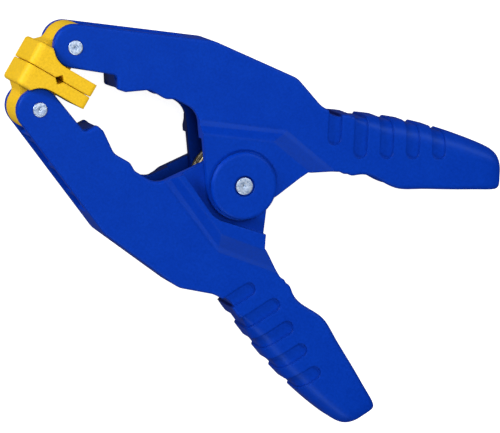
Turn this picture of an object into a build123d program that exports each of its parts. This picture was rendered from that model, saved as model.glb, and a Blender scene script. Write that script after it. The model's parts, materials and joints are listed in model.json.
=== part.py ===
from build123d import *
import os
from math import acos, atan2, cos, hypot, radians, sin

os.makedirs("parts", exist_ok=True)

# ------------------------------------------------------------------ frame
# Millimetres. The clamp lies on its side: +Z is the main pivot's axis, +X runs along the
# line of symmetry from the pads to the handles, and the upper arm is on the +Y side.
# z = 0 is the face that the clamp rests on, and the pivot axis passes through x = y = 0.
MID_HEIGHT = 15.5  # mid-plane of the clamp above the resting face

# ------------------------------------------------------------------ driving sizes
CHEEK_OUT = 10.75  # outer face of a cheek, from the mid-plane
CHEEK_IN = 7.55  # inner face of a cheek
HOUSING_OUT = 14.25  # raised housing around the pivot
EAR_GAP = 0.3  # between an outer ear and the inner ear under it
EDGE_ROUND = 0.8  # rounding of the moulded edges

PAD_PIN_X, PAD_PIN_Y = -73.9, 12.0
JAW_END_X, JAW_END_Y = PAD_PIN_X - 0.3, PAD_PIN_Y + 0.4  # centre of each cheek's round end
JAW_END_R = 7.3
JAW_ANGLE = 22.3  # slope of the jaw's outer and inner edges
HANDLE_ANGLE = 28.3  # slope of a handle

PIN_R = 3.0
PAD_PIN_R = 2.5
FIT = 0.03  # radial clearance of a pin in its hole

EAR_R, EAR_X, EAR_Y = 11.9, -0.5, -0.3  # round part of an ear
DISC_R = 11.5  # boss on an outer ear, its face is the resting face
DISC_RIM = 1.1
MOAT_WIDE, MOAT_DEEP = 1.5, 0.7  # sloping recess around the disc
COUNTERBORE_R, COUNTERBORE_DEEP = 3.55, 0.9
SPOOL_R, SPOOL_END = 9.0, 0.5  # boss inside an inner ear, carries the coil

CHANNEL_DEEP = 2.0  # shallow channel in the jaw's outer edge

WIRE_R = 1.3
COIL_R = 12.9  # mean radius of the spring
COIL_TOP = 5.9  # first turn's centre, from the mid-plane
LEG_TILT = 7.0  # a leg leans outwards from its handle
LEG_LENGTH = 46.0

PAD_HALF = 12.5  # half width of a pad
PAD_FACE = 0.1  # clamping face from the plane of symmetry
PAD_FRONT, PAD_REAR = PAD_PIN_X - 11.9, PAD_PIN_X + 12.6
PAD_THICK = 4.6
LIP_HIGH = 8.1  # front lip, from the clamping face
LIP_ROUND = 2.6  # upright edges of the lip
PAD_ROUND, PAD_EDGE = 1.2, 0.5
WEB_HALF = 7.2
WEB_TAIL = 4.7  # the web stops this far along the jaw  # web of a pad, between the cheeks
SADDLE_GAP = 0.45
NOTCH = 1.8  # half width and depth of the notch across the clamping face

GROOVE_PITCH, GROOVE_FIRST, GROOVES = 9.4, 32.5, 5
GROOVE_WIDE, GROOVE_DEEP, GROOVE_TIP = 4.8, 0.8, 9.4

# A handle's sections, in its own frame: distance from the pivot along the handle, inner and
# outer edge across it, half width, and the rounding of its back and of its open edge.
HANDLE_SECTIONS = [
    (38.0, 3.9, 24.1, 10.75, 0.95, 0.9),
    (42.0, 3.7, 23.9, 10.75, 3.0, 1.0),
    (48.0, 2.6, 23.6, 10.75, 5.5, 1.2),
    (55.0, -0.7, 22.8, 10.75, 6.5, 1.4),
    (63.0, -1.1, 21.5, 10.75, 6.5, 1.4),
    (72.0, -1.1, 19.4, 10.75, 6.5, 1.4),
    (80.0, -1.1, 17.0, 10.7, 6.0, 1.4),
    (87.0, -1.1, 14.4, 10.5, 5.5, 1.6),
    (91.2, -1.0, 12.0, 10.0, 4.5, 1.8),
    (93.0, -0.4, 9.2, 8.9, 3.5, 2.2),
]


# ------------------------------------------------------------------ helpers
def handle_xy(along, across):
    """A point of the upper handle's frame, in the clamp's frame."""
    a = radians(HANDLE_ANGLE)
    return along * cos(a) - across * sin(a), along * sin(a) + across * cos(a)


def jaw_xy(along, across):
    """A point measured from the round end's centre along and across the upper jaw."""
    a = radians(JAW_ANGLE)
    x = JAW_END_X + along * cos(a) - across * sin(a)
    return x, JAW_END_Y + along * sin(a) + across * cos(a)


def plate(corners):
    """A flat face from (x, y, corner radius) corners."""
    points = [(x, y) for x, y, r in corners]
    return make_face(FilletPolyline(*points, radius=[r for x, y, r in corners], close=True))


def prism(face, low, high):
    return extrude(Pos(0, 0, low) * face, amount=high - low)


def drum(radius, low, high, x=0.0, y=0.0):
    return Pos(x, y, (low + high) / 2) * Cylinder(radius, high - low)


def flipped(shape):
    """The same moulding turned half round about the line of symmetry."""
    return Rot(180, 0, 0) * shape


# ------------------------------------------------------------------ arm outlines
def throat_line(y):
    """x of the straight inner edge that runs from the throat down past the pivot."""
    return -21.4 - (y - 8.2) * 0.733


def arm_outline():
    """One cheek from the jaw's round end to the root of the handle."""
    end = JAW_END_R
    return plate(
        [
            (*jaw_xy(-end, -end), end - 0.05),
            (-56.6, 11.0, 1.6),
            (-53.9, 6.9, 1.0),
            (-51.1, 7.5, 1.5),
            (-44.1, 12.3, 5.0),
            (-37.6, 12.3, 3.0),
            (-34.8, 13.9, 3.0),
            (throat_line(14.2), 14.2, 7.0),
            (throat_line(0.0), 0.0, 0),
            (11.3, 1.0, 0),
            (16.0, 11.8, 0),
            (17.6, 14.9, 2.0),
            (*handle_xy(35.0, 4.6), 1.0),
            (*handle_xy(36.5, 3.9), 1.0),
            (*handle_xy(38.0, 3.9), 0),
            (*handle_xy(38.0, 24.1), 0),
            (17.0, 36.9, 10.0),
            (11.0, 37.0, 8.0),
            (-1.0, 41.0, 7.0),
            (-32.9, 37.6, 8.0),
            (*jaw_xy(-end, end), end - 0.05),
        ]
    )


def ear_outline():
    """Ear around the pivot with its straight edge towards the throat."""
    left = (throat_line(8.2), 8.2)
    reach = hypot(left[0] - EAR_X, left[1] - EAR_Y)
    heading = atan2(left[1] - EAR_Y, left[0] - EAR_X) + acos(EAR_R / reach)
    touch = (EAR_X + EAR_R * cos(heading), EAR_Y + EAR_R * sin(heading))
    neck = make_face(Polyline(left, touch, (EAR_X, EAR_Y), (11.3, 1.0), (16.0, 11.8), (0, 16), close=True))
    return neck + Pos(EAR_X, EAR_Y) * Circle(EAR_R)


def ear_sweep():
    """Everything on the pivot's side of the line that the other arm's ear sweeps."""
    far = 40
    return plate(
        [(-31, 1.9, 0), (-31, -far, 0), (30, -far, 0), (30, 7.0, 0), (14.8, 10.7, 0), (-3.0, 14.6, 9.0)]
    )


def cavity_outline():
    """Hollow between the cheeks, open towards the other arm."""
    skin = JAW_END_R - CHANNEL_DEEP - 2.4
    return plate(
        [
            (-95, -20, 0),
            (-95, 40, 0),
            (*jaw_xy(5.8, 30), 0),
            (*jaw_xy(5.8, skin), 0),
            (*jaw_xy(40.6, skin), 3.0),
            (-32.6, 34.9, 3.0),
            (-1.4, 38.2, 4.0),
            (10.6, 34.2, 3.0),
            (17.5, 33.6, 3.0),
            (*handle_xy(38.0, 20.8), 5.0),
            (*handle_xy(57.0, 19.2), 8.0),
            (*handle_xy(72.0, 16.0), 8.0),
            (*handle_xy(86.0, 11.4), 3.0),
            (*handle_xy(89.2, 7.5), 2.0),
            (*handle_xy(89.2, -12), 0),
            (40, -40, 0),
        ]
    )


# ------------------------------------------------------------------ arm solids
def arm_block():
    block = prism(arm_outline(), -CHEEK_OUT, CHEEK_OUT)
    rims = block.edges().group_by(Axis.Z)[0] + block.edges().group_by(Axis.Z)[-1]
    root = handle_xy(38.0, 14.0)
    rounded = [
        edge
        for edge in rims
        if hypot(edge.center().X - root[0], edge.center().Y - root[1]) > 2 and edge.center().Y > 1
    ]
    return fillet(rounded, EDGE_ROUND)


def handle_body(shrink=0.0):
    """Rounded handle through its sections, smaller all round by shrink."""
    sections = []
    for along, inner, outer, half, back, edge in HANDLE_SECTIONS:
        low, high, side = inner + shrink, outer - shrink, half - shrink
        corners = [(low, -side), (high, -side), (high, side), (low, side)]
        radii = [max(r - shrink, 0.3) for r in (edge, back, back, edge)]
        section = make_face(FilletPolyline(*corners, radius=radii, close=True))
        sections.append(Plane(origin=(along, 0, 0), x_dir=(0, 1, 0), z_dir=(1, 0, 0)) * section)
    return Rot(0, 0, HANDLE_ANGLE) * loft(sections)


def groove_slots():
    """Stadium prisms across the handle, one for each finger groove."""
    slots = []
    for i in range(GROOVES):
        along = GROOVE_FIRST + i * GROOVE_PITCH
        tip = GROOVE_TIP if i else GROOVE_TIP + 4.5
        half = GROOVE_WIDE / 2
        corners = [
            (along - half, tip, half - 0.05),
            (along + half, tip, half - 0.05),
            (along + half, 40, 0),
            (along - half, 40, 0),
        ]
        slots.append(Rot(0, 0, HANDLE_ANGLE) * prism(plate(corners), -20, 20))
    return slots


def grip_core():
    """What the finger grooves leave: the handle and its root, smaller by the grooves' depth."""
    side = CHEEK_OUT - GROOVE_DEEP
    back = [
        (*handle_xy(26, 2), 0),
        (*handle_xy(38.2, 2), 0),
        (*handle_xy(38.2, 24.1 - GROOVE_DEEP), 0),
        (17.2, 36.9 - GROOVE_DEEP, 10.0),
        (6.0, 37.0 - GROOVE_DEEP, 0),
    ]
    return handle_body(GROOVE_DEEP) + prism(plate(back), -side, side)


def housing(raise_from):
    """Raised housing over one cheek, with its ramp and its wide facet towards the handle."""
    foot = CHEEK_OUT
    inner = [(throat_line(0.0), 0.0), (11.3, 1.0), (16.0, 11.8), (17.6, 14.9)]
    rings = [
        (foot, [(throat_line(12.0), 12.0), *inner, handle_xy(33.4, 4.8), (4.75, 23.8)]),
        (foot + 0.75, [(throat_line(10.4), 10.4), *inner, handle_xy(31.0, 4.8), (4.0, 22.2)]),
        (HOUSING_OUT - 0.4, [(throat_line(8.6), 8.6), *inner, handle_xy(24.6, 4.7), (1.9, 18.6)]),
        (HOUSING_OUT, [(throat_line(8.1), 8.1), *inner, handle_xy(23.6, 4.7), (1.6, 17.9)]),
    ]
    faces = [Pos(0, 0, z) * make_face(Polyline(*points, close=True)) for z, points in rings]
    base = make_face(Polyline(*rings[0][1], close=True))
    return loft(faces, ruled=True) + prism(base, raise_from, foot)


def rib(place, along, thick, low, high):
    """A straight rib square to a jaw or a handle, placed by jaw_xy or handle_xy."""
    near, far = along - thick / 2, along + thick / 2
    corners = [place(near, low), place(far, low), place(far, high), place(near, high)]
    return make_face(Polyline(*corners, close=True))


def ribs():
    """Cross ribs of the outer channel, and stiffening ribs inside the arm."""
    walls = []
    for along in (9.2, 20.9, 32.5):
        walls.append(rib(jaw_xy, along, 1.6, 2, JAW_END_R - 0.5))
    for along, low, high in ((62.0, 5.0, 19.0), (74.0, 4.0, 16.0)):
        walls.append(rib(handle_xy, along, 1.8, low, high))
    stop = [(-58.2, 11.6, 0), (-56.4, 10.0, 0.5), (-53.6, 7.2, 0.5), (-51.6, 7.9, 0)]
    walls.append(plate([*stop, (-54.0, 9.8, 0), (-56.0, 12.4, 0)]))
    for angle, near, far in ((118, 18.5, 39.0), (92, 18.5, 37.5)):
        spoke = Rot(0, 0, angle) * Pos((near + far) / 2, 0) * Rectangle(far - near, 1.8)
        walls.append(spoke)
    return [prism(wall, -CHEEK_IN - 0.5, CHEEK_IN + 0.5) for wall in walls]


def jaw_channel():
    """Shallow channel along the jaw's outer edge, between the cheeks."""
    deep = JAW_END_R - CHANNEL_DEEP
    corners = [(6, deep, 0), (38.5, deep, 1.5), (40.5, 12, 0), (6, 12, 0)]
    return plate([(*jaw_xy(along, across), r) for along, across, r in corners])


def rim_rounded_disc():
    """Boss around the pivot on an outer ear."""
    disc = drum(DISC_R, HOUSING_OUT - MOAT_DEEP - 0.5, MID_HEIGHT)
    return fillet(disc.edges().group_by(Axis.Z)[-1], DISC_RIM)


def arm():
    """One moulded arm as the upper one lies: its outer ear on top, its inner ear below."""
    near_cut = prism(ear_sweep(), CHEEK_IN - 3, CHEEK_OUT + EAR_GAP)
    far_cut = prism(ear_sweep(), -HOUSING_OUT - 3, -CHEEK_OUT)
    body = arm_block() + handle_body()
    core = grip_core()
    for slot in groove_slots():
        body -= slot - core
    body += housing(CHEEK_OUT - 1.5)
    body += mirror(housing(CHEEK_OUT - 1.5), Plane.XY)
    body -= prism(cavity_outline(), -CHEEK_IN, CHEEK_IN)
    body -= prism(jaw_channel(), -CHEEK_IN, CHEEK_IN)
    for rib in ribs():
        body += rib
    body -= near_cut
    body -= far_cut
    body += prism(ear_outline(), CHEEK_OUT + EAR_GAP, HOUSING_OUT)
    body += prism(ear_outline(), -CHEEK_OUT, -CHEEK_IN)
    moat = Cone(DISC_R - 0.5, DISC_R + MOAT_WIDE, MOAT_DEEP + 0.2)
    body -= Pos(0, 0, HOUSING_OUT - MOAT_DEEP / 2 + 0.1) * moat
    body += rim_rounded_disc()
    body += drum(SPOOL_R, -CHEEK_IN - 0.5, -SPOOL_END)
    body -= drum(PIN_R + FIT, -30, 30)
    body -= drum(COUNTERBORE_R, MID_HEIGHT - COUNTERBORE_DEEP, MID_HEIGHT + 1)
    body -= drum(PAD_PIN_R + FIT, -30, 30, PAD_PIN_X, PAD_PIN_Y)
    return body


# ------------------------------------------------------------------ pads and pins
def pad():
    """Upper clamping pad: plate with a lip, V-notch, saddle for the cheeks and a web on the pin."""
    plan = plate(
        [
            (PAD_FRONT, -PAD_HALF, LIP_ROUND),
            (PAD_REAR, -PAD_HALF, PAD_ROUND),
            (PAD_REAR, PAD_HALF, PAD_ROUND),
            (PAD_FRONT, PAD_HALF, LIP_ROUND),
        ]
    )
    base = Rot(90, 0, 0) * prism(plan, -LIP_HIGH, -PAD_FACE)
    base -= Pos(PAD_REAR, PAD_THICK + 10) * Box(2 * (PAD_REAR - PAD_PIN_X), 20, 4 * PAD_HALF)
    levels = base.edges().filter_by(lambda edge: abs(edge.tangent_at(0.5).Y) < 0.1).group_by(Axis.Y)
    base = fillet(levels[0], PAD_EDGE)
    levels = base.edges().group_by(Axis.Y)
    base = fillet(levels[-1].filter_by(lambda edge: edge.center().X < PAD_PIN_X - 0.1), PAD_ROUND)
    base -= drum(JAW_END_R + SADDLE_GAP, -PAD_HALF - 1, PAD_HALF + 1, JAW_END_X, JAW_END_Y)
    notch = [(PAD_PIN_X + 0.3 + dx, dy) for dx, dy in ((-NOTCH - 1, -1), (NOTCH + 1, -1), (0, NOTCH))]
    base -= prism(make_face(Polyline(*notch, close=True)), -PAD_HALF - 1, PAD_HALF + 1)
    web = Pos(JAW_END_X, JAW_END_Y) * Circle(JAW_END_R)
    web += plate(
        [
            (PAD_FRONT + 1.5, 3, 0),
            (PAD_PIN_X + 3, 3, 0),
            (PAD_PIN_X + 3, 9, 0),
            (JAW_END_X, JAW_END_Y + 2, 0),
            (JAW_END_X - JAW_END_R + 0.3, JAW_END_Y + 2, 0),
            (JAW_END_X - JAW_END_R - 0.2, JAW_END_Y - 2.2, 2.0),
            (PAD_FRONT + 1.5, LIP_HIGH - 0.4, 0),
        ]
    )
    behind = [(WEB_TAIL, -1), (WEB_TAIL + 8, -1), (WEB_TAIL + 8, 12), (WEB_TAIL, 12)]
    web -= make_face(Polyline(*[jaw_xy(along, across) for along, across in behind], close=True))
    body = base + prism(web, -WEB_HALF, WEB_HALF)
    return body - drum(PAD_PIN_R + FIT, -30, 30, PAD_PIN_X, PAD_PIN_Y)


def pin(radius, half_length, x=0.0, y=0.0):
    """Plain pin with a slight round at its ends and a centre mark."""
    body = drum(radius, -half_length, half_length, x, y)
    body = fillet(body.edges().filter_by(GeomType.CIRCLE), 0.35)
    mark = Pos(x, y, half_length - 0.25) * Cone(0.1, 0.45, 0.6)
    return body - mark - Pos(x, y, -half_length + 0.25) * Cone(0.45, 0.1, 0.6)


def spring():
    """Torsion spring: an open coil around the pivot and two straight legs into the handles."""
    start = 90 + HANDLE_ANGLE + LEG_TILT
    turned = 2 * 360 + 2 * (180 - start)
    climb = 2 * COIL_TOP
    coil = Helix(pitch=climb * 360 / turned, height=climb, radius=COIL_R, lefthand=True)
    coil = Rot(0, 0, -start) * Pos(0, 0, -COIL_TOP) * coil
    lean = radians(HANDLE_ANGLE + LEG_TILT)
    lower_tip = coil @ 0 + Vector(cos(lean), -sin(lean), 0) * LEG_LENGTH
    upper_tip = coil @ 1 + Vector(cos(lean), sin(lean), 0) * LEG_LENGTH
    path = Wire([Line(lower_tip, coil @ 0).edge(), coil.edge(), Line(coil @ 1, upper_tip).edge()])
    start_face = Plane(origin=path @ 0, z_dir=path % 0) * Circle(WIRE_R)
    return sweep(start_face, path=path, transition=Transition.TRANSFORMED)


# ------------------------------------------------------------------ assembly
def write(shape, name):
    export_step(Pos(0, 0, MID_HEIGHT) * shape, f"parts/{name}.step")
    print(name, "volume", round(shape.volume, 1), "valid", shape.is_valid)


upper_arm = arm()
upper_pad = pad()
upper_pad_pin = pin(PAD_PIN_R, CHEEK_OUT + 0.2, PAD_PIN_X, PAD_PIN_Y)
write(upper_arm, "upper_arm")
write(flipped(upper_arm), "lower_arm")
write(upper_pad, "upper_pad")
write(flipped(upper_pad), "lower_pad")
write(upper_pad_pin, "upper_pad_pin")
write(flipped(upper_pad_pin), "lower_pad_pin")
write(pin(PIN_R, MID_HEIGHT - 0.05), "pivot_pin")
write(spring(), "torsion_spring")
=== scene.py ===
import bmesh
import bpy
import json
from math import cos, radians, sin
from mathutils import Matrix, Vector


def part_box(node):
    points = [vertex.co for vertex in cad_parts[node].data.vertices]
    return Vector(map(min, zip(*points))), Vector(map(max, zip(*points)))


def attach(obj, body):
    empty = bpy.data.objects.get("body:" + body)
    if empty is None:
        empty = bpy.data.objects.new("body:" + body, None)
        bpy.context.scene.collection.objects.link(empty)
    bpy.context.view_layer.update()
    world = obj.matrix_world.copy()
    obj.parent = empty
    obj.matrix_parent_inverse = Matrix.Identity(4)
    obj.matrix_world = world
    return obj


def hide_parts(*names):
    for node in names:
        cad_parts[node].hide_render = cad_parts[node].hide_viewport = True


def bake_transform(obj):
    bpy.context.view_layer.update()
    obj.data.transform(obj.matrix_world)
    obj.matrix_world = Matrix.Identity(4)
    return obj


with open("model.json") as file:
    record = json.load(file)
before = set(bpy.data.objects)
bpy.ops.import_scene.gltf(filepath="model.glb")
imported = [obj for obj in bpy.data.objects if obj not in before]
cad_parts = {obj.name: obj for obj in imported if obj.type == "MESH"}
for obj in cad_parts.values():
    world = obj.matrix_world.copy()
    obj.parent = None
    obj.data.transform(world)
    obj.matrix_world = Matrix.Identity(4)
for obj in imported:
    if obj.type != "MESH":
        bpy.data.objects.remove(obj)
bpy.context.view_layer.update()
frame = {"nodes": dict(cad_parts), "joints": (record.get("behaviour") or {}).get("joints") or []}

bl_info = {
    "name": "Spring clamp",
    "version": (1, 0, 0),
    "blender": (4, 5, 0),
    "location": "View3D > Sidebar > Spring clamp",
    "description": "Finishes a plastic spring clamp around its CAD frame",
    "category": "Add Mesh",
}

MM = 0.001


# ------------------------------------------------------------------ places from the frame
PIVOT = next(Vector(joint["pos_m"]) for joint in frame["joints"] if joint["name"] == "main_pivot")
SIDES = ("upper", "lower")


# ------------------------------------------------------------------ user settings
class ClampColours(bpy.types.PropertyGroup):
    arm: bpy.props.StringProperty(
        name="Arm resin", description="Colour of the moulded arms, as sRGB hex", default="0032A5")
    pad: bpy.props.StringProperty(
        name="Pad resin", description="Colour of the moulded pads, as sRGB hex", default="EABC1E")
    zinc: bpy.props.StringProperty(
        name="Pin plating", description="Colour of the zinc plated pins, as sRGB hex", default="CFDDF2")
    wire: bpy.props.StringProperty(
        name="Spring wire", description="Colour of the plated spring wire, as sRGB hex", default="9A917A")


class ClampSizes(bpy.types.PropertyGroup):
    wire: bpy.props.FloatProperty(
        name="Wire", description="Radius of the spring wire", default=1.3 * MM, unit="LENGTH")
    coil: bpy.props.FloatProperty(
        name="Coil", description="Mean radius of the spring's coil", default=12.9 * MM, unit="LENGTH")
    coil_rise: bpy.props.FloatProperty(
        name="Coil rise", description="From the first turn's centre to the last one's",
        default=11.8 * MM, unit="LENGTH")
    leg: bpy.props.FloatProperty(
        name="Leg", description="Length of each straight leg of the spring", default=46 * MM, unit="LENGTH")
    leg_lean: bpy.props.FloatProperty(
        name="Leg lean", description="Angle of each leg from the line of symmetry",
        default=radians(35.3), subtype="ANGLE")
    pin_round: bpy.props.FloatProperty(
        name="Pin round", description="Radius of the rounded rim on each pin's ends",
        default=0.35 * MM, unit="LENGTH")


# ------------------------------------------------------------------ materials
def linear(hex_colour):
    """An sRGB hex colour as a linear RGBA tuple."""
    parts = [int(hex_colour[i : i + 2], 16) / 255 for i in (0, 2, 4)]
    flat = [c / 12.92 if c <= 0.04045 else ((c + 0.055) / 1.055) ** 2.4 for c in parts]
    return (*flat, 1.0)


def new_material(name):
    material = bpy.data.materials.new(name)
    material.use_nodes = True
    material.node_tree.nodes.clear()
    return material


def add(material, kind, settings=None, **links):
    """Adds a node, sets its attributes or input values, and links inputs named by keyword."""
    node = material.node_tree.nodes.new(kind)
    for key, value in (settings or {}).items():
        if isinstance(key, str) and hasattr(node, key):
            setattr(node, key, value)
        else:
            node.inputs[key].default_value = value
    for key, source in links.items():
        target = node.inputs[int(key[1:])] if key[1:].isdigit() else node.inputs[key.replace("_", " ")]
        material.node_tree.links.new(source, target)
    return node


def moulded_nylon(name, colour, pale, sheen, texture_mm, roughness):
    """Glass-filled nylon from a spark-eroded mould: satin, with a tinted sheen, a fine even grain
    that breaks it up, faint paler flow where the glass comes near the surface, and soft edges."""
    material = new_material(name)
    place = add(material, "ShaderNodeTexCoord").outputs["Object"]
    grain = add(material, "ShaderNodeTexNoise",
                {"Scale": 1.0 / (texture_mm * MM), "Detail": 2.0, "Roughness": 0.6}, Vector=place)
    flow = add(material, "ShaderNodeTexNoise",
               {"Scale": 1.0 / (9 * MM), "Detail": 4.0, "Roughness": 0.6}, Vector=place)
    tone = add(material, "ShaderNodeMapRange",
               {"From Min": 0.4, "From Max": 0.75, "To Max": 0.3}, Value=flow.outputs["Fac"])
    mix = add(material, "ShaderNodeMix",
              {"data_type": "RGBA", 6: linear(colour), 7: linear(pale)}, _0=tone.outputs["Result"])
    shade = add(material, "ShaderNodeMapRange",
                {"From Min": 0.3, "From Max": 0.7, "To Min": 0.9, "To Max": 1.09}, Value=grain.outputs["Fac"])
    speckled = add(material, "ShaderNodeVectorMath", {"operation": "SCALE"}, _0=mix.outputs["Result"],
                   Scale=shade.outputs["Result"])
    rough = add(material, "ShaderNodeMapRange",
                {"From Min": 0.3, "From Max": 0.7, "To Min": roughness - 0.05, "To Max": roughness + 0.07},
                Value=grain.outputs["Fac"])
    soft_edge = add(material, "ShaderNodeBevel", {"samples": 4, "Radius": 0.8 * MM})
    bump = add(material, "ShaderNodeBump", {"Strength": 0.35, "Distance": 0.04 * MM},
               Height=grain.outputs["Fac"], Normal=soft_edge.outputs["Normal"])
    shader = add(material, "ShaderNodeBsdfPrincipled",
                 {"IOR": 1.5, "Specular IOR Level": 0.22, "Specular Tint": linear(sheen)},
                 Base_Color=speckled.outputs["Vector"], Roughness=rough.outputs["Result"],
                 Normal=bump.outputs["Normal"])
    add(material, "ShaderNodeOutputMaterial", None, Surface=shader.outputs["BSDF"])
    return material


def plated_steel(name, colour, dull, roughness, grain_mm):
    """Zinc plated steel: a soft silver, blotched by the plating bath and pitted where it was cut."""
    material = new_material(name)
    place = add(material, "ShaderNodeTexCoord").outputs["Object"]
    blotch = add(material, "ShaderNodeTexNoise",
                 {"Scale": 1.0 / (grain_mm * MM), "Detail": 5.0, "Roughness": 0.7}, Vector=place)
    pits = add(material, "ShaderNodeTexNoise",
               {"Scale": 1.0 / (0.35 * MM), "Detail": 2.0, "Roughness": 0.6}, Vector=place)
    tone = add(material, "ShaderNodeMapRange",
               {"From Min": 0.36, "From Max": 0.58}, Value=blotch.outputs["Fac"])
    mix = add(material, "ShaderNodeMix",
              {"data_type": "RGBA", 6: linear(dull), 7: linear(colour)}, _0=tone.outputs["Result"])
    rough = add(material, "ShaderNodeMapRange",
                {"To Min": roughness + 0.12, "To Max": roughness - 0.08}, Value=blotch.outputs["Fac"])
    bump = add(material, "ShaderNodeBump",
               {"Strength": 0.5, "Distance": 0.05 * MM}, Height=pits.outputs["Fac"])
    shader = add(material, "ShaderNodeBsdfPrincipled", {"Metallic": 1.0},
                 Base_Color=mix.outputs["Result"], Roughness=rough.outputs["Result"],
                 Normal=bump.outputs["Normal"])
    add(material, "ShaderNodeOutputMaterial", None, Surface=shader.outputs["BSDF"])
    return material


def finish(piece, material):
    piece.data.materials.clear()
    piece.data.materials.append(material)


# ------------------------------------------------------------------ pieces
def made(name, bm, material):
    """A finished piece from a bmesh whose vertices are already in place."""
    bmesh.ops.recalc_face_normals(bm, faces=bm.faces)
    mesh = bpy.data.meshes.new(name)
    bm.to_mesh(mesh)
    bm.free()
    mesh.shade_smooth()
    piece = bpy.data.objects.new(name, mesh)
    bpy.context.scene.collection.objects.link(piece)
    finish(piece, material)
    return piece


def extruded(bm, edges, step):
    """Extrudes a loop of edges by a vector and gives the new loop."""
    grown = bmesh.ops.extrude_edge_only(bm, edges=edges)["geom"]
    verts = [part for part in grown if isinstance(part, bmesh.types.BMVert)]
    bmesh.ops.translate(bm, vec=step, verts=verts)
    return [part for part in grown if isinstance(part, bmesh.types.BMEdge)
            and all(vert in verts for vert in part.verts)]


def turned(bm, profile, steps):
    """Turns a profile of (radius, height) points full round about the Z axis."""
    verts = [bm.verts.new((radius, 0, height)) for radius, height in profile]
    edges = [bm.edges.new(pair) for pair in zip(verts, verts[1:])]
    bmesh.ops.spin(bm, geom=[*verts, *edges], cent=(0, 0, 0), axis=(0, 0, 1), dvec=(0, 0, 0),
                   angle=radians(360), steps=steps, use_merge=True)
    bmesh.ops.remove_doubles(bm, verts=bm.verts, dist=0.001 * MM)


# ------------------------------------------------------------------ stage
VIEW_TILT = 17.0  # the camera leans this far from the pivot's axis towards the jaws
VIEW_ROLL = 29.6  # the clamp's line of symmetry falls this much to the right
VIEW_LEAN = 1.0  # the camera also leans this far towards the lower arm
VIEW_DISTANCE = 1.5  # metres, so the clamp is seen almost without perspective
AIM_ALONG, AIM_ACROSS, AIM_ABOVE = 6.3 * MM, -8.0 * MM, 2 * MM  # from the pivot pin's top
LENS = 318.9


def view_axes():
    tilt, roll, lean = radians(VIEW_TILT), radians(VIEW_ROLL), radians(VIEW_LEAN)
    along = Vector((cos(tilt), 0, sin(tilt)))
    upright = along.cross(Vector((0, 1, 0)))
    across = Vector((0, cos(lean), 0)) + upright * sin(lean)
    back = along.cross(across)
    right = along * cos(roll) + across * sin(roll)
    up = -along * sin(roll) + across * cos(roll)
    return right, up, back


LIGHT_AIM = (0, 0, 0.02)
LIGHTS = (  # name, place, width and height, power
    ("overhead", (-0.16, 0.1, 0.78), (0.35, 0.35), 2.1),
    ("front", (-0.78, 0.0, 0.18), (0.3, 0.25), 5.6),
    ("upper side", (0.12, 0.5, 0.42), (0.4, 0.12), 1.95),
    ("lower side", (0.12, -0.5, 0.42), (0.4, 0.12), 1.75),
)
SKY = 0.09  # strength of the even light from all round
SHEET_GLOW = 0.9
FLOOR_REACH = 3.0
FLOOR_DROP = 0.1 * MM  # keeps the floor off the clamp's own resting face


def soft_light(name, place, size, power):
    data = bpy.data.lights.new(name, "AREA")
    data.shape = "RECTANGLE"
    data.size, data.size_y = size
    data.energy = power
    light = bpy.data.objects.new(name, data)
    light.location = place
    light.rotation_euler = (Vector(LIGHT_AIM) - Vector(place)).to_track_quat("-Z", "Y").to_euler()
    bpy.context.scene.collection.objects.link(light)


class CLAMP_OT_stage(bpy.types.Operator):
    """Pale floor, soft lights and the camera"""

    bl_idname = "clamp.stage"
    bl_label = "Stage"

    def execute(self, context):
        bm = bmesh.new()
        bmesh.ops.create_grid(bm, x_segments=1, y_segments=1, size=FLOOR_REACH)
        bmesh.ops.translate(bm, vec=(0, 0, -FLOOR_DROP), verts=bm.verts)
        mesh = bpy.data.meshes.new("floor")
        bm.to_mesh(mesh)
        bm.free()
        floor = bpy.data.objects.new("floor", mesh)
        context.scene.collection.objects.link(floor)
        paper = new_material("backlit white sheet")
        shader = add(paper, "ShaderNodeBsdfPrincipled",
                     {"Base Color": linear("C8C8C8"), "Roughness": 1.0, "Specular IOR Level": 0.0,
                      "Emission Color": linear("FFFFFF"), "Emission Strength": SHEET_GLOW})
        add(paper, "ShaderNodeOutputMaterial", None, Surface=shader.outputs["BSDF"])
        finish(floor, paper)
        floor.visible_diffuse = False
        floor.visible_glossy = False

        right, up, back = view_axes()
        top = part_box("pivot_pin")[1].z
        aim = Vector((AIM_ALONG, AIM_ACROSS, top + AIM_ABOVE))
        data = bpy.data.cameras.new("camera")
        data.lens = LENS
        data.clip_start = 0.01
        camera = bpy.data.objects.new("camera", data)
        turn = Matrix((right, up, back)).transposed()
        camera.matrix_world = Matrix.Translation(aim + back * VIEW_DISTANCE) @ turn.to_4x4()
        context.scene.collection.objects.link(camera)
        context.scene.camera = camera

        for name, place, size, power in LIGHTS:
            soft_light(name, place, size, power)
        world = bpy.data.worlds.new("studio")
        world.use_nodes = True
        background = world.node_tree.nodes["Background"].inputs
        background["Color"].default_value = (1, 1, 1, 1)
        background["Strength"].default_value = SKY
        context.scene.world = world
        context.scene.view_settings.view_transform = "Standard"
        return {"FINISHED"}


class CLAMP_OT_arms(bpy.types.Operator):
    """Both moulded arms"""

    bl_idname = "clamp.arms"
    bl_label = "Arms"

    def execute(self, context):
        colours = context.scene.clamp_colours
        blue = moulded_nylon("moulded glass-filled nylon, blue", colours.arm, "043CB2", "86BEFF", 0.8, 0.44)
        for side in SIDES:
            finish(frame["nodes"][side + "_arm"], blue)
        return {"FINISHED"}


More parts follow.
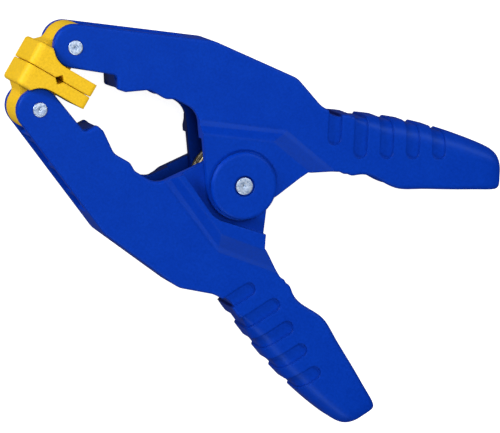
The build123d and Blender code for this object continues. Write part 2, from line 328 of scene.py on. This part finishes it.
class CLAMP_OT_pads(bpy.types.Operator):
    """Both swivelling jaw pads"""

    bl_idname = "clamp.pads"
    bl_label = "Pads"

    def execute(self, context):
        colours = context.scene.clamp_colours
        yellow = moulded_nylon("moulded nylon, yellow", colours.pad, "F0C63A", "FFF0C0", 0.8, 0.48)
        for side in SIDES:
            finish(frame["nodes"][side + "_pad"], yellow)
        return {"FINISHED"}


CENTRE_MARK = ((0, 0.42), (0.12, 0.38), (0.5, 0.04), (0.62, 0))  # radius and depth in mm
PIN_STEPS = 64
RIM_ANGLES = range(0, 91, 15)


class CLAMP_OT_pins(bpy.types.Operator):
    """Main pivot pin and both pad pins, each with a rounded rim and a centre mark"""

    bl_idname = "clamp.pins"
    bl_label = "Pins"

    def execute(self, context):
        sizes = context.scene.clamp_sizes
        zinc = plated_steel("zinc plated steel", context.scene.clamp_colours.zinc, "7E98BC", 0.5, 0.7)
        for name, body in (("pivot_pin", "upper_arm"), ("upper_pad_pin", "upper_arm"),
                           ("lower_pad_pin", "lower_arm")):
            low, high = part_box(name)
            radius, half = (high.x - low.x) / 2, (high.z - low.z) / 2
            bend = [(radius - sizes.pin_round * (1 - sin(radians(angle))),
                     half - sizes.pin_round * (1 - cos(radians(angle)))) for angle in RIM_ANGLES]
            mark = [(reach * MM, half - deep * MM) for reach, deep in CENTRE_MARK]
            end = [*mark, (radius * 0.6, half), *bend]
            bm = bmesh.new()
            turned(bm, [*end, *[(r, -z) for r, z in reversed(end)]], PIN_STEPS)
            bmesh.ops.translate(bm, vec=(low + high) / 2, verts=bm.verts)
            pin = made(name + "_turned", bm, zinc)
            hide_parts(name)
            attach(pin, body)
        return {"FINISHED"}


COIL_TURNS = 3  # whole turns, of which the legs' openings take a part
COIL_STEPS, WIRE_SEGMENTS = 160, 16


class CLAMP_OT_spring(bpy.types.Operator):
    """Torsion spring that winds up as the handles close"""

    bl_idname = "clamp.spring"
    bl_label = "Spring"

    def execute(self, context):
        sizes = context.scene.clamp_sizes
        wire = plated_steel("plated spring wire", context.scene.clamp_colours.wire, "4A4436", 0.34, 2.0)
        lean = sizes.leg_lean
        start = radians(90) + lean  # the legs leave the coil at this angle, below and above
        sweep = COIL_TURNS * radians(360) - 2 * start
        leg = Vector((-cos(lean), sin(lean), 0)) * sizes.leg
        bm = bmesh.new()
        loop = bmesh.ops.create_circle(bm, segments=WIRE_SEGMENTS, radius=sizes.wire)["verts"]
        edges = list({edge for vert in loop for edge in vert.link_edges})
        bmesh.ops.rotate(bm, cent=(0, 0, 0), matrix=Matrix.Rotation(radians(90), 3, "X"), verts=loop)
        bmesh.ops.translate(bm, vec=(sizes.coil, 0, -sizes.coil_rise / 2), verts=loop)
        bmesh.ops.rotate(bm, cent=(0, 0, 0), matrix=Matrix.Rotation(-start, 3, "Z"), verts=loop)
        bmesh.ops.translate(bm, vec=-leg, verts=loop)
        bmesh.ops.contextual_create(bm, geom=edges)
        edges = extruded(bm, edges, leg)
        spun = bmesh.ops.spin(bm, geom=edges, cent=(0, 0, 0), axis=(0, 0, -1), angle=sweep, steps=COIL_STEPS,
                              dvec=(0, 0, sizes.coil_rise / COIL_STEPS))["geom_last"]
        edges = [part for part in spun if isinstance(part, bmesh.types.BMEdge)]
        edges = extruded(bm, edges, Vector((-leg.x, leg.y, 0)))
        bmesh.ops.contextual_create(bm, geom=edges)
        bmesh.ops.translate(bm, vec=PIVOT, verts=bm.verts)
        spring = made("wound_spring", bm, wire)
        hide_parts("torsion_spring")
        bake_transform(spring)
        return {"FINISHED"}


class CLAMP_PT_panel(bpy.types.Panel):
    """Lists the clamp's operators and settings"""

    bl_label = "Spring clamp"
    bl_idname = "CLAMP_PT_panel"
    bl_space_type = "VIEW_3D"
    bl_region_type = "UI"
    bl_category = "Spring clamp"

    def draw(self, context):
        for step in STEPS:
            self.layout.operator(step.bl_idname)
        for group in (context.scene.clamp_colours, context.scene.clamp_sizes):
            for key in group.bl_rna.properties.keys():
                if key not in {"name", "rna_type"}:
                    self.layout.prop(group, key)


STEPS = (CLAMP_OT_stage, CLAMP_OT_arms, CLAMP_OT_pads, CLAMP_OT_pins, CLAMP_OT_spring)
CLASSES = (ClampColours, ClampSizes, *STEPS, CLAMP_PT_panel)


def register():
    for cls in CLASSES:
        bpy.utils.register_class(cls)
    bpy.types.Scene.clamp_colours = bpy.props.PointerProperty(type=ClampColours)
    bpy.types.Scene.clamp_sizes = bpy.props.PointerProperty(type=ClampSizes)


def unregister():
    del bpy.types.Scene.clamp_sizes
    del bpy.types.Scene.clamp_colours
    for cls in reversed(CLASSES):
        bpy.utils.unregister_class(cls)


def main():
    register()
    bpy.ops.clamp.stage()
    bpy.ops.clamp.arms()
    bpy.ops.clamp.pads()
    bpy.ops.clamp.pins()
    bpy.ops.clamp.spring()


if __name__ == "__main__":
    main()
